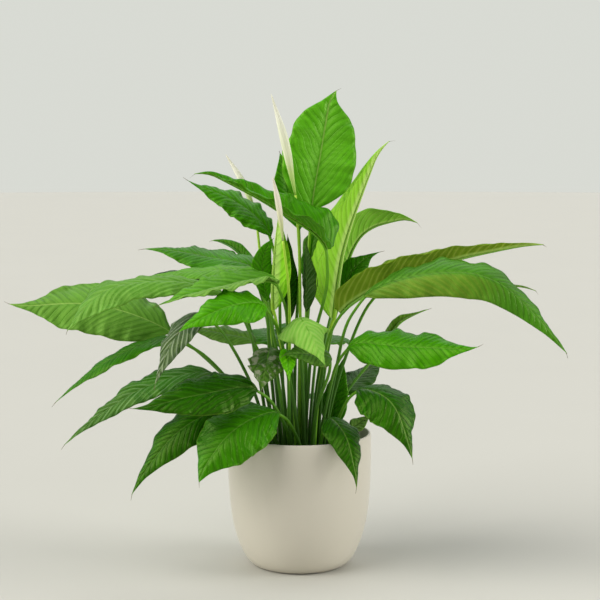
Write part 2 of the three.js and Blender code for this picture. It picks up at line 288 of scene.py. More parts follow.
def blade_upper():
    """Waxy upper side: sunk side veins, painted highlight streaks between them, and green from old and dark
    to fresh.
    """
    f = Finish("leaf_upper_side")
    out, side, fine, highlight_streak = vein_lines(f)
    tone, pale, dry, olive, stripe = (f.layer(n) for n in ("tone", "pale", "dry", "olive", "stripe"))
    mottle = f.noise(f.place(), 42.0, 4.0, 0.6)
    broad = f.noise(f.place(), 11.0, 2.0)
    ridge = side.step(0.05, 0.85, 1.0, 0.0)
    # The streaks and the raised quilt ridges lighten the green as painted highlights.
    shade = tone + (mottle - 0.5) * 0.10 + (broad - 0.5) * 0.26 + (highlight_streak - 0.5) * 0.46 + ridge * 0.07 - 0.04
    # The top stop is lifted to paint light glowing through the brightest leaves.
    green = f.ramp(shade, [
        (0.0, (0.003, 0.024, 0.0004)), (0.25, (0.012, 0.078, 0.0006)), (0.5, (0.040, 0.225, 0.0010)),
        (0.75, (0.098, 0.450, 0.0020)), (1.0, (0.380, 0.820, 0.024))])
    bronze = f.ramp(mottle * 0.4 + highlight_streak * 0.6 + side * 0.25 - 0.1, [
        (0.25, (0.060, 0.125, 0.005)), (0.5, (0.145, 0.235, 0.013)), (0.75, (0.310, 0.400, 0.045))])
    green = f.mix(olive, green, bronze)
    # Painted highlights in light lines along the corrugated veins, where the streaks run.
    lines = fine.step(0.45, 0.95) * 0.45 + side.step(0.0, 0.5, 1.0, 0.0) * 0.5
    green = f.mix(lines * highlight_streak.step(0.34, 0.56) * stripe, green, (0.46, 0.50, 0.38))
    bright = f.layer("rib")
    rib = (out * (1.0 - bright * 0.55)).step(0.0002, 0.0009, 1.0, 0.0)
    green = f.mix(rib * (0.10 + bright * 0.80), green, MIDRIB_GREEN)
    # Pale bloom, partly a painted sheen, strongest on the highlight streaks and the quilt ridges.
    pale_and_sheen_mask = pale * (0.10 + highlight_streak * 0.80 + ridge * 0.30)
    green = f.mix(pale_and_sheen_mask.least(1.0), green, (0.31, 0.49, 0.11))
    burnt = dry * f.noise(f.place(), 90.0, 4.0, 0.7).step(0.50, 0.60)
    green = f.mix(burnt * 0.85, green, (0.38, 0.39, 0.28))
    green = f.mix(f.layer("edge").step(0.955, 0.995) * 0.35, green, (0.20, 0.36, 0.03))
    grain = f.noise(f.place(), 420.0, 2.0)
    sunk = side.step(0.7, 1.0) * 0.30 + rib * (0.4 - bright * 0.4)
    height = (1.0 - fine) * 0.10 + grain * 0.10 + highlight_streak * 0.7 - sunk
    return f.wear(base_color=green, roughness=0.16 + highlight_streak * 0.24 + pale * 0.25 + burnt * 0.3,
                  normal=f.relief(height, 0.0011, 0.75),
                  specular_ior_level=0.42, specular_tint=(0.60, 0.90, 0.16))


def blade_under():
    """Duller underside: paler, with the veins standing up, and bronzed on the leaves that are turned over."""
    f = Finish("leaf_underside")
    out, side, fine, highlight_streak = vein_lines(f)
    tone, olive, pale, bright = (f.layer(n) for n in ("tone", "olive", "pale", "rib"))
    mottle = f.noise(f.place(), 30.0, 4.0, 0.6)
    # The highlight streaks lighten this green as painted highlights, and the top stop paints light glowing
    # through the brightest leaves.
    green = f.ramp(tone * 0.85 + 0.08 + (mottle - 0.5) * 0.12 + (highlight_streak - 0.5) * 0.25, [
        (0.0, (0.008, 0.062, 0.001)), (0.35, (0.034, 0.165, 0.003)), (0.7, (0.105, 0.390, 0.006)),
        (1.0, (0.380, 0.820, 0.032))])
    vein = side.step(0.45, 1.0)
    bronze = f.ramp(mottle * 0.35 + vein * 0.22 + highlight_streak * 0.5 + 0.02, [
        (0.15, (0.095, 0.175, 0.006)), (0.45, (0.190, 0.290, 0.016)), (0.8, (0.380, 0.470, 0.065))])
    green = f.mix(olive, green, bronze)
    green = f.mix(vein * 0.22 * (1.0 - olive), green, (0.27, 0.40, 0.07))
    rib = (out * (1.0 - bright * 0.6)).step(0.0006, 0.0018, 1.0, 0.0)
    # Pale bloom and painted sheen on the underside too, lifting leaves that face away into shade.
    green = f.mix(pale * (0.35 + highlight_streak * 0.5), green, (0.36, 0.60, 0.13))
    green = f.mix(rib * (0.35 + bright * 0.6), green, MIDRIB_GREEN)
    height = vein * (0.8 - olive * 0.45) + fine.step(0.6, 1.0) * 0.1 + f.noise(f.place(), 420.0, 2.0) * 0.15
    return f.wear(base_color=green, roughness=0.44 + mottle * 0.14, normal=f.relief(height, 0.0009, 0.8),
                  specular_ior_level=0.22, specular_tint=(0.42, 0.80, 0.14))


def stalk_skin():
    """Smooth ridged leaf stalk: yellow green above, darker towards the crown, partly its own colour and
    partly painted shade, and dry past the tip.
    """
    f = Finish("leaf_stalk")
    run, stalk = f.layer("run"), f.layer("stalk")
    round_it = f.across()
    mottle = f.noise(f.place(), 60.0, 3.0)
    ridge = abs((round_it * 7.0).fraction() - 0.5) * 2.0
    # Darker towards the crown: partly the stalks' own darker foot, partly painted shade where they crowd
    # together.
    green = f.ramp(run.least(1.0) * 0.45 + stalk * 0.75 - 0.16 + (mottle - 0.5) * 0.2, [
        (0.0, (0.008, 0.040, 0.001)), (0.35, (0.040, 0.165, 0.002)), (0.65, (0.130, 0.380, 0.005)),
        (1.0, (0.380, 0.680, 0.028))])
    green = f.mix(ridge.step(0.5, 1.0) * 0.15, green, (0.32, 0.50, 0.08))
    midrib = run.step(1.0, 1.15) * run.step(1.7, 2.0, 1.0, 0.0) * f.layer("rib")
    green = f.mix(midrib * 0.8, green, MIDRIB_GREEN)
    green = f.mix(run.step(2.0, 2.25), green, (0.16, 0.12, 0.045))
    return f.wear(base_color=green, roughness=0.34 + mottle * 0.18, specular_ior_level=0.3,
                  normal=f.relief(ridge * 0.5 + f.noise(f.place(), 300.0, 2.0) * 0.2, 0.0005, 0.6))


def flower_stem():
    """Slim bare stem of a flower, light yellow green."""
    f = Finish("flower_stem")
    run = f.layer("run")
    mottle = f.noise(f.place(), 70.0, 3.0)
    round_it = f.across()
    ridge = abs((round_it * 6.0).fraction() - 0.5) * 2.0
    green = f.ramp(run + (mottle - 0.5) * 0.2, [
        (0.0, (0.06, 0.22, 0.004)), (0.4, (0.27, 0.58, 0.012)), (1.0, (0.48, 0.74, 0.07))])
    return f.wear(base_color=green, roughness=0.36 + mottle * 0.14, specular_ior_level=0.3,
                  normal=f.relief(ridge * 0.6, 0.0004, 0.6))


def spathe_skin():
    """Closed white spathe: cream at the tip, green in the veins and towards its foot."""
    f = Finish("spathe_petal")
    run, blush = f.layer("run"), f.layer("tone")
    round_it = f.across()
    mottle = f.noise(f.place(), 50.0, 3.0)
    lines = abs((round_it * 9.0 + mottle * 0.6).fraction() - 0.5) * 2.0
    cream = f.ramp(run + (mottle - 0.5) * 0.16, [
        (0.0, (0.30, 0.56, 0.05)), (0.2, (0.55, 0.70, 0.22)), (0.42, (0.82, 0.84, 0.58)),
        (0.75, (0.88, 0.87, 0.72)), (1.0, (0.78, 0.76, 0.58))])
    cream = f.mix(blush * 0.45, cream, (0.74, 0.58, 0.46))
    cream = f.mix(lines.step(0.7, 1.0) * (1.0 - run) * 0.5, cream, (0.34, 0.56, 0.12))
    return f.wear(base_color=cream, roughness=0.46 + mottle * 0.12, specular_ior_level=0.35,
                  normal=f.relief(lines * 0.5 + mottle * 0.3, 0.0006, 0.6))


def pot_glaze(colour):
    """Satin off-white pot with the faint cloudiness and speckle of its coating."""
    f = Finish("pot_satin_white")
    cloud = f.noise(f.place(), 7.0, 4.0, 0.55)
    speck = f.noise(f.place(), 900.0, 2.0)
    height = f.axis(f.place(), "Z")
    tint = f.mix((cloud - 0.3) * 0.35, colour, tuple(c * 0.93 for c in colour))
    scuff = f.noise(f.place(), 140.0, 5.0, 0.7).step(0.62, 0.78)
    low = height.step(0.0, 0.012, 1.0, 0.0)
    tint = f.mix(low * 0.25 + scuff * 0.04, tint, (0.42, 0.37, 0.30))
    return f.wear(base_color=tint, roughness=0.29 + cloud * 0.10 + scuff * 0.12,
                  normal=f.relief(speck * 0.4 + cloud * 0.6, 0.0004, 0.35))


def soil_mix():
    """Dark damp potting soil with paler fibres and grains."""
    f = Finish("potting_soil")
    grain = f.noise(f.place(), 160.0, 6.0, 0.7)
    crumb = f.number("ShaderNodeTexVoronoi", {}, {"Vector": f.place(), "Scale": 230.0}, "Distance")
    brown = f.ramp(grain, [
        (0.3, (0.008, 0.005, 0.003)), (0.55, (0.028, 0.018, 0.011)), (0.75, (0.085, 0.058, 0.036))])
    brown = f.mix(crumb.step(0.0, 0.25, 0.5, 0.0), brown, (0.006, 0.004, 0.003))
    return f.wear(base_color=brown, roughness=0.80 + grain * 0.18,
                  normal=f.relief(grain + crumb * 0.6, 0.003, 0.9))


def pale_floor():
    """Plain matt floor."""
    f = Finish("pale_floor")
    cloud = f.noise(f.place(), 3.0, 3.0)
    tint = f.mix(cloud, (0.575, 0.565, 0.505), (0.595, 0.585, 0.525))
    return f.wear(base_color=tint, roughness=0.75 + cloud * 0.1)


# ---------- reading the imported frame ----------
def smooth_row(keys, values, at):
    """The value at a place along a row of values, on a smooth curve through them."""
    last = len(keys) - 1
    at = min(max(at, keys[0]), keys[last])
    k = 0
    while k < last - 1 and at > keys[k + 1]:
        k += 1

    def slope(i):
        low, high = max(i - 1, 0), min(i + 1, last)
        return (values[high] - values[low]) / (keys[high] - keys[low])

    span = keys[k + 1] - keys[k]
    t = (at - keys[k]) / span
    return (values[k] * (2 * t**3 - 3 * t**2 + 1) + slope(k) * (span * (t**3 - 2 * t**2 + t))
            + values[k + 1] * (3 * t**2 - 2 * t**3) + slope(k + 1) * (span * (t**3 - t**2)))


def read_rings(node, foot_at):
    """The rings of a lofted frame node from its foot to its tip, and its two end points."""
    bm = bmesh.new()
    bm.from_mesh(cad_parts[node].data)
    bmesh.ops.remove_doubles(bm, verts=bm.verts, dist=1e-5)
    ends = sorted((v for v in bm.verts if len(v.link_edges) == RING), key=lambda v: (v.co - foot_at).length)
    if len(ends) != 2:
        raise RuntimeError(f"frame node {node} has {len(ends)} ends and needs two")
    rings, seen, wave = [], {ends[1]}, [ends[1]]
    while len(seen) < len(bm.verts):
        level = {e.other_vert(v) for v in wave for e in v.link_edges} - seen
        seen |= level
        wave = sorted(level, key=lambda v: tuple(v.co))
        if len(level) == RING:
            ring = [wave[0]]
            while len(ring) < RING:
                near = [e.other_vert(ring[-1]) for e in ring[-1].link_edges]
                ring.append(next(v for v in near if v in level and v not in ring))
            rings.append([v.co.copy() for v in ring])
    foot, tip = ends[0].co.copy(), ends[1].co.copy()
    bm.free()
    rings.reverse()
    centres = [centre_of(ring) for ring in rings]
    for k, ring in enumerate(rings):
        ahead = (centres[k + 1] if k + 1 < len(rings) else tip) - (centres[k - 1] if k else foot)
        spokes = [point - centres[k] for point in ring]
        turn = sum((a.cross(b) for a, b in zip(spokes, turned(spokes, 1))), Vector())
        if turn.dot(ahead) < 0:
            ring.reverse()
    return rings, foot, tip


def turned(ring, by):
    return ring[by:] + ring[:by]


def centre_of(ring):
    return sum(ring, Vector()) / RING


def across_of(ring):
    """From the left edge to the right edge of a ring that has been lined up."""
    return ring[4] - ring[0]


def up_of(ring):
    """From the underside to the upper side of a ring that has been lined up."""
    return ring[2] - ring[6]


def running_lengths(points):
    """How far along a row of points each one is."""
    keys = [0.0]
    for a, b in zip(points, points[1:]):
        keys.append(keys[-1] + (b - a).length)
    return keys


def line_up(rings):
    """Starts each ring at the left edge, with point 2 on the upper side and point 4 on the right edge."""
    opposite = RING // 2

    def width(ring, i):
        return (ring[i] - ring[i + opposite]).length

    widest = max(range(len(rings)), key=lambda k: max(width(rings[k], i) for i in range(opposite)))
    ring = rings[widest]
    ring = turned(ring, max(range(opposite), key=lambda i: width(ring, i)))
    middle = (ring[1] + ring[3] + ring[5] + ring[7]) / 2 - (ring[0] + ring[4]) / 2
    if (ring[2] - middle).length > (ring[6] - middle).length:
        ring = turned(ring, opposite)
    out = list(rings)
    out[widest] = ring
    for order in (range(widest + 1, len(rings)), range(widest - 1, -1, -1)):
        last = ring
        for k in order:
            across, up = across_of(last).normalized(), up_of(last).normalized()
            out[k] = last = max(
                (turned(rings[k], i) for i in range(RING)),
                key=lambda r: across.dot(across_of(r).normalized()) + up.dot(up_of(r).normalized()))
    return out


# ---------- building pieces ----------
def piece_from(bm, name, node, materials):
    """Makes the mesh an object that rides on the frame in place of its frame node."""
    mesh = bpy.data.meshes.new(name)
    bm.to_mesh(mesh)
    bm.free()
    for material in materials:
        mesh.materials.append(material)
    piece = bpy.data.objects.new(name, mesh)
    bpy.context.scene.collection.objects.link(piece)
    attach(piece, "root")
    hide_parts(node)
    return piece


def point_layers(bm, names):
    return {n: bm.verts.layers.float.get(n) or bm.verts.layers.float.new(n) for n in names}


def face_outwards(bm, faces, volume_before=0.0):
    """Turns a closed part that was just added so that its faces point outwards."""
    bmesh.ops.recalc_face_normals(bm, faces=faces)
    if bm.calc_volume(signed=True) < volume_before:
        bmesh.ops.reverse_faces(bm, faces=faces)


def sweep(bm, sections, sides, layers, uv, stored, index):
    """A closed rod through sections of (middle, across, up, half width, half height, run)."""
    volume_before = bm.calc_volume(signed=True)
    circle = bmesh.ops.create_circle(bm, segments=sides, radius=1.0, cap_ends=True)["verts"]
    far = circle[0].link_faces[0]
    rows = [list(circle)]
    while len(rows) < len(sections):
        out = bmesh.ops.extrude_face_region(bm, geom=[far])
        if far.is_valid and len(rows) > 1:
            bmesh.ops.delete(bm, geom=[far], context="FACES_ONLY")
        new = [g for g in out["geom"] if isinstance(g, bmesh.types.BMVert)]
        far = next(g for g in out["geom"] if isinstance(g, bmesh.types.BMFace))
        rows.append([next(e.other_vert(v) for e in v.link_edges if e.other_vert(v) in new) for v in rows[-1]])
    place = {}
    for i, (row, (middle, across, up, wide, high, run)) in enumerate(zip(rows, sections)):
        for k, v in enumerate(row):
            angle = 2 * math.pi * k / sides
            v.co = middle + across * (wide * math.cos(angle)) + up * (high * math.sin(angle))
            for name, value in {**stored, "run": run}.items():
                v[layers[name]] = value
            place[v] = (k / sides, i / (len(rows) - 1))
    faces = {face: None for v in place for face in v.link_faces}
    for face in faces:
        face.smooth = True
        face.material_index = index
        around = [place[loop.vert][0] for loop in face.loops]
        closes = max(around) - min(around) > 0.5 and len(around) == 4
        for loop in face.loops:
            k, along = place[loop.vert]
            loop[uv].uv = (1.0 if closes and k == 0 else k, along)
    face_outwards(bm, list(faces), volume_before)


class Blade:
    """The smooth surface through a leaf's rings: the stalk below the neck and the blade above it."""

    def __init__(self, node):
        rings, self.foot, tip = read_rings(node, CROWN)
        rings = line_up(rings)
        self.stalk, blade = rings[:STALK_RINGS], rings[STALK_RINGS:]
        self.tracks = [
            [r[0] for r in blade] + [tip],
            [(r[1] + r[7]) / 2 for r in blade] + [tip],
            [r[2] - up_of(r).normalized() * FRAME_HALF_SKIN for r in blade] + [tip],
            [(r[3] + r[5]) / 2 for r in blade] + [tip],
            [r[4] for r in blade] + [tip],
        ]
        self.midrib = self.tracks[2]
        self.keys = running_lengths(self.midrib)
        self.length = self.keys[-1]
        self.width = max(across_of(r).length for r in blade)
        self.neck, self.neck_across, self.neck_up = (
            self.midrib[0], across_of(blade[0]).normalized(), up_of(blade[0]).normalized())

    def row(self, along):
        """Left edge, left quarter, midrib, right quarter and right edge at a distance along the midrib."""
        return [smooth_row(self.keys, track, along) for track in self.tracks]

    def frame_at(self, along):
        """The midrib's point, and the directions across and up there."""
        row = self.row(along)
        step = self.length * 0.01
        ahead = (smooth_row(self.keys, self.midrib, min(along + step, self.length))
                 - smooth_row(self.keys, self.midrib, max(along - step, 0)))
        across = row[4] - row[0]
        across = across.normalized() if across.length > 2e-6 else self.neck_across
        return row[2], across, across.cross(ahead).normalized()


class Habit:
    """How one leaf grows: the slant of its veins, the waves of its margin and the bend of its tip."""

    def __init__(self, node, leaf, looks):
        luck = random.Random(sum(map(ord, node)))
        self.phases = [luck.uniform(0, 6.28) for _ in range(4)]
        self.seed = luck.uniform(0, 90)
        self.lean = luck.uniform(0.9, 1.1) * looks["lean"]
        self.curve = luck.uniform(6, 9)
        self.spacing = (0.0042 + 0.085 * leaf.width) * math.hypot(1.0, looks["lean"]) / 1.4
        self.looks = looks
        self.hook = Vector(looks["hook"]) * 0.001

    def bend(self, share):
        return self.hook * max((share - TIP_BENDS_FROM) / (1 - TIP_BENDS_FROM), 0.0) ** 2

    def reach(self, across, share, left):
        """A place across the blade, let out or taken in where the outline is uneven."""
        uneven = noise.noise(Vector((share * 7, self.seed + (5 if left else 0), 0)))
        notch = uneven * 0.09 * soft(share, 0.02, 0.2)
        place, amount = self.looks["swell"]
        swell = amount * math.exp(-(((share - place) / 0.16) ** 2))
        return across * (1 + notch * abs(across) + swell)

    def vein(self, across, along, share, out):
        """How many veins lie before a point: whole numbers are midway between two veins."""
        wobble = noise.noise(Vector((share * 9, self.seed, 3 if across < 0 else 8)))
        stagger = 0.5 if across < 0 else 0.0
        return (along - out * self.lean - out * out * self.curve) / self.spacing + wobble * 0.35 + stagger

    def ripple(self, across, share):
        """Height of the wavy margin for a blade at its full width."""
        uneven = noise.noise(Vector((share * 4, self.seed, 20)))
        turn = 2 * math.pi * self.looks["waves"] * share + 1.6 * uneven
        first, second = self.phases[:2] if across < 0 else self.phases[2:]
        wave = math.sin(turn + first) + 0.45 * math.sin(turn * 2.4 + second)
        return self.looks["wave"] * 0.001 * abs(across) ** 2.2 * wave

    def pale(self, across):
        half = self.looks["pale_and_sheen_half"]
        return self.looks["pale"] * (0.4 + 0.6 * soft(across * half, -0.1, 0.5) if half else 1.0)

    def olive(self, across, share):
        half = self.looks["olive_half"]
        on_half = 0.5 * soft(across * half, 0.05, 0.2) * (1 - soft(share, 0.42, 0.72)) if half else 0.0
        return max(self.looks["olive"], on_half)


def spot(row, across):
    """The point of a row from -1, its left edge, to 1, on one curve through each half's three points."""
    a = abs(across)
    edge, quarter = (row[0], row[1]) if across < 0 else (row[4], row[3])
    return row[2] * ((1 - a) * (1 - 2 * a)) + quarter * (4 * a * (1 - a)) + edge * (a * (2 * a - 1))


def soft(x, low, high):
    t = min(max((x - low) / (high - low), 0.0), 1.0)
    return t * t * (3 - 2 * t)


def lay_blade(bm, leaf, habit, steps_across):
    """Lays a sheet of faces over the blade. Gives how far across, from -1 to 1, and along each point is."""
    steps = int(min(max(leaf.length / ROW_LENGTH, ROWS[0]), ROWS[1]))
    bmesh.ops.create_grid(bm, x_segments=steps_across, y_segments=steps, size=1.0)
    alongs = [leaf.length * BLADE_END * k / steps for k in range(steps + 1)]
    rows = [leaf.row(along) for along in alongs]
    spots = {}
    for v in bm.verts:
        k = round((v.co.y + 1) / 2 * steps)
        row, x = rows[k], v.co.x
        across = math.copysign(abs(x) ** 1.2, x) if abs(x) > 1e-6 else 0.0
        reach = habit.reach(across, alongs[k] / leaf.length, x < 0)
        edge = min(max(reach, -1.0), 1.0)
        width = row[4] - row[0]
        spots[v] = (across, alongs[k], width.length / 2)
        v.co = spot(row, edge) + width.normalized() * (width.length / 2) * (reach - edge)
    return spots


def shape_blade(bm, leaf, habit, spots, layers, crumple):
    """Quilts the blade, waves its margin, bends its tip and stores what its finish reads."""
    bm.normal_update()
    shifts = {}
    for v, (across, along, half) in spots.items():
        share = along / leaf.length
        out = abs(across) * half
        vein = habit.vein(across, along, share, out)
        side = abs(vein % 1.0 - 0.5) * 2
        fade = min(half / 0.012, 1.0) * min(abs(across) * 5, 1) * min((1 - abs(across)) * 5, 1)
        quilt = 0.105 * habit.spacing * (1 - side**2) * fade
        groove = -0.0006 * math.exp(-((out / 0.0016) ** 2)) * (1 - share)
        body = min(half / (leaf.width / 2 + 1e-6), 1.0)
        ripple = habit.ripple(across, share) * body**0.7
        lump = noise.noise(v.co * 22.0) * 0.0018 * body * min(abs(across) * 3, 1)
        crinkle = noise.noise(v.co * 75.0) * crumple * 0.001 * body
        shifts[v] = v.normal * (quilt + groove + ripple + lump + crinkle) + habit.bend(share)
        for name, value in (("pale", habit.pale(across)), ("olive", habit.olive(across, share)), ("run", 1.0),
                            ("vein", vein), ("edge", abs(across))):
            v[layers[name]] = value
    for v, shift in shifts.items():
        v.co += shift
    bm.normal_update()


def thicken_blade(bm):
    """Gives the sheet an underside and closes the rim between the two."""
    copy = bmesh.ops.duplicate(bm, geom=list(bm.faces))
    lower = [g for g in copy["geom"] if isinstance(g, bmesh.types.BMFace)]
    normals = {v: v.normal.copy() for face in lower for v in face.verts}
    bmesh.ops.reverse_faces(bm, faces=lower)
    for v, normal in normals.items():
        v.co -= normal * BLADE_THICKNESS
    bridge = bmesh.ops.bridge_loops(bm, edges=[e for e in bm.edges if e.is_boundary])
    for face in lower + bridge["faces"]:
        face.material_index = 1
        face.smooth = True
    face_outwards(bm, list(bm.faces))


def stalk_sections(leaf):
    """From the crown to the neck: wider at its sheathing foot, and sinking under the blade at its head."""
    places = [leaf.foot] + [centre_of(r) for r in leaf.stalk[1:]] + [leaf.neck]
    acrosses = [across_of(r).normalized() for r in leaf.stalk] + [leaf.neck_across]
    ups = [up_of(r).normalized() for r in leaf.stalk] + [leaf.neck_up]
    radii = [across_of(r).length / 2 * 1.2 for r in leaf.stalk] + [NECK_RADIUS]
    keys = running_lengths(places)
    count = max(int(keys[-1] / 0.009), 6)
    sections = []
    for k in range(count):
        at = keys[-1] * k / count
        share = k / count
        across = smooth_row(keys, acrosses, at).normalized()
        up = smooth_row(keys, ups, at).normalized()
        radius = smooth_row(keys, radii, at)
        sheath = 1 + 0.5 * max(0.0, 1 - share * 3.2) ** 1.5
        middle = smooth_row(keys, places, at) - up * (radius * share**3)
        sections.append((middle, across, up, radius * sheath, radius * (0.92 + 0.1 * share), share))
    return sections


def midrib_sections(leaf, habit, rib):
    """From the neck to the tip, just under the blade, with a short dry point past the tip."""
    sections = []
    count = max(int(leaf.length / 0.007), 8)
    for k in range(count + 1):
        share = k / count
        here, across, up = leaf.frame_at(leaf.length * share * 0.99)
        thick = (0.0015 + 0.0008 * rib) * (1 - share) ** 0.8 + 0.0003
        middle = here + habit.bend(share * 0.99) - up * (thick + 0.0009 * (1 - share))
        sections.append((middle, across, up, thick * 1.05, thick, 1 + share))
    end, before = sections[-1], sections[-3]
    ahead = ((end[0] - before[0]).normalized() + habit.hook * 60).normalized()
    length = min(DRY_POINT, leaf.length * 0.05)
    wide, narrow = DRY_POINT_RADII
    for t in (0.25, 0.5, 0.75, 1.0):
        radius = wide + (narrow - wide) * t
        middle = end[0] + ahead * length * t + habit.hook * 0.5 * t * t
        sections.append((middle, end[1], end[2], radius, radius, 2 + t))
    return sections


def grow_leaf(node, looks, steps_across, materials):
    """One leaf: a thin veined blade with a wavy margin, and the stalk that runs on under it as its midrib."""
    leaf = Blade(node)
    habit = Habit(node, leaf, looks)
    stored = {name: looks[name] for name in WHOLE_LEAF_LOOKS}
    bm = bmesh.new()
    uv = bm.loops.layers.uv.new("blade")
    layers = point_layers(bm, BLADE_LAYERS)
    spots = lay_blade(bm, leaf, habit, steps_across)
    shape_blade(bm, leaf, habit, spots, layers, looks["crumple"])
    for v in spots:
        for name, value in stored.items():
            v[layers[name]] = value
    for face in bm.faces:
        face.smooth = True
        for loop in face.loops:
            across, along, half = spots[loop.vert]
            loop[uv].uv = (across * half, along)
    thicken_blade(bm)
    sweep(bm, stalk_sections(leaf) + midrib_sections(leaf, habit, looks["rib"]), 10, layers, uv, stored, 2)
    return piece_from(bm, node + "_grown", node, materials)


def grow_rod(node, name, sides, material, tone, twist):
    """A round rod along its frame node: a bare stem, or a closed spathe wound round itself to a point."""
    rings, _, tip = read_rings(node, Vector())
    rings = line_up(rings)
    places = [centre_of(r) for r in rings]
    radii = [(r[0] - r[4]).length / 2 for r in rings]
    acrosses = [across_of(r).normalized() for r in rings]
    ups = [up_of(r).normalized() for r in rings]
    if twist:
        places.append(tip)
        radii.append(0.0002)
        acrosses.append(acrosses[-1])
        ups.append(ups[-1])
    keys = running_lengths(places)
    steps = max(int(keys[-1] / 0.005), 14)
    sections = []
    for k in range(steps + 1):
        share = k / steps
        at = keys[-1] * k / steps
        across = smooth_row(keys, acrosses, at).normalized()
        up = smooth_row(keys, ups, at).normalized()
        turn = twist * share
        radius = max(smooth_row(keys, radii, at), 0.0002)
        sections.append((
            smooth_row(keys, places, at), across * math.cos(turn) + up * math.sin(turn),
            up * math.cos(turn) - across * math.sin(turn), radius, radius * (0.8 if twist else 1.0), share))
    bm = bmesh.new()
    uv = bm.loops.layers.uv.new("blade")
    layers = point_layers(bm, ["tone", "run"])
    sweep(bm, sections, sides, layers, uv, {"tone": tone}, 0)
    if twist:
        for v in bm.verts:
            v.co += v.normal * noise.noise(v.co * 60.0) * 0.0005 * (1 - v[layers["run"]]) ** 2
    return piece_from(bm, name, node, [material])


# ---------- settings ----------
class PotSettings(bpy.types.PropertyGroup):
    glaze: FloatVectorProperty(name="Glaze", description="Colour of the pot's satin coating", subtype="COLOR",
                               size=3, min=0.0, max=1.0, default=(0.64, 0.60, 0.50))
    facets: IntProperty(name="Facets", description="Steps round the pot", default=144, min=24, max=256)


class SoilSettings(bpy.types.PropertyGroup):
    lumps: FloatProperty(name="Lump height", description="How far the soil's surface rises and falls",
                         subtype="DISTANCE", unit="LENGTH", default=0.004, min=0.0, max=0.01)
    crumbs: IntProperty(name="Crumbs", description="Loose crumbs lying on the soil", default=150,
                        min=0, max=600)


class LeafSettings(bpy.types.PropertyGroup):
    steps_across: IntProperty(name="Steps across", description="Faces across a blade", default=20,
                              min=6, max=40)
    wave_scale: FloatProperty(name="Wave", description="Scale of the wavy margins", default=1.0,
                              min=0.0, max=3.0)


class FlowerSettings(bpy.types.PropertyGroup):
    twist: FloatProperty(name="Twist", description="How far a closed spathe winds round itself",
                         subtype="ANGLE", unit="ROTATION", default=2.4, min=0.0, max=6.28)


class StageSettings(bpy.types.PropertyGroup):
    lens: FloatProperty(name="Lens", description="Focal length of the camera", subtype="DISTANCE_CAMERA",
                        unit="CAMERA", default=92.1, min=20.0, max=300.0)
    distance: FloatProperty(name="Distance", description="From the camera to the middle of the pot",
                            subtype="DISTANCE", unit="LENGTH", default=1.906, min=0.5, max=5.0)
    height: FloatProperty(name="Height", description="Of the camera above the floor",
                          subtype="DISTANCE", unit="LENGTH", default=0.534, min=0.0, max=3.0)
    pitch: FloatProperty(name="Pitch", description="How far the camera looks down",
                         subtype="ANGLE", unit="ROTATION", default=math.radians(5.97), min=0.0, max=1.2)
    ambient: FloatProperty(name="Ambient", description="Strength of the light from all round", default=0.30,
                           min=0.0, max=2.0)
    key: FloatProperty(name="Key light", description="Strength of the light from the front left", default=2.3,
                       min=0.0, max=10.0)
    fill: FloatProperty(name="Fill light", description="Strength of the light from the front right",
                        default=1.4, min=0.0, max=10.0)


# ---------- operators ----------
class LILY_OT_pot(bpy.types.Operator):
    """Turns the round pot with its thin wall, soft rounded foot and rounded lip"""

    bl_idname = "peace_lily.pot"
    bl_label = "Turn the pot"

    def execute(self, context):
        s = context.scene.peace_lily_pot
        bm = bmesh.new()
        points = [bm.verts.new((r, 0, z)) for r, z in POT_OUTSIDE + POT_LIP + POT_INSIDE]
        edges = [bm.edges.new(pair) for pair in zip(points, points[1:])]
        bmesh.ops.spin(bm, geom=points + edges, cent=(0, 0, 0), axis=(0, 0, 1), dvec=(0, 0, 0),
                       angle=2 * math.pi, steps=s.facets, use_merge=True)
        bmesh.ops.remove_doubles(bm, verts=bm.verts, dist=1e-6)
        bmesh.ops.recalc_face_normals(bm, faces=bm.faces)
        for face in bm.faces:
            face.smooth = True
        pot = piece_from(bm, "pot_shell", "pot", [pot_glaze(tuple(s.glaze))])
        soften = pot.modifiers.new("round", "SUBSURF")
        soften.levels = soften.render_levels = 1
        return {"FINISHED"}


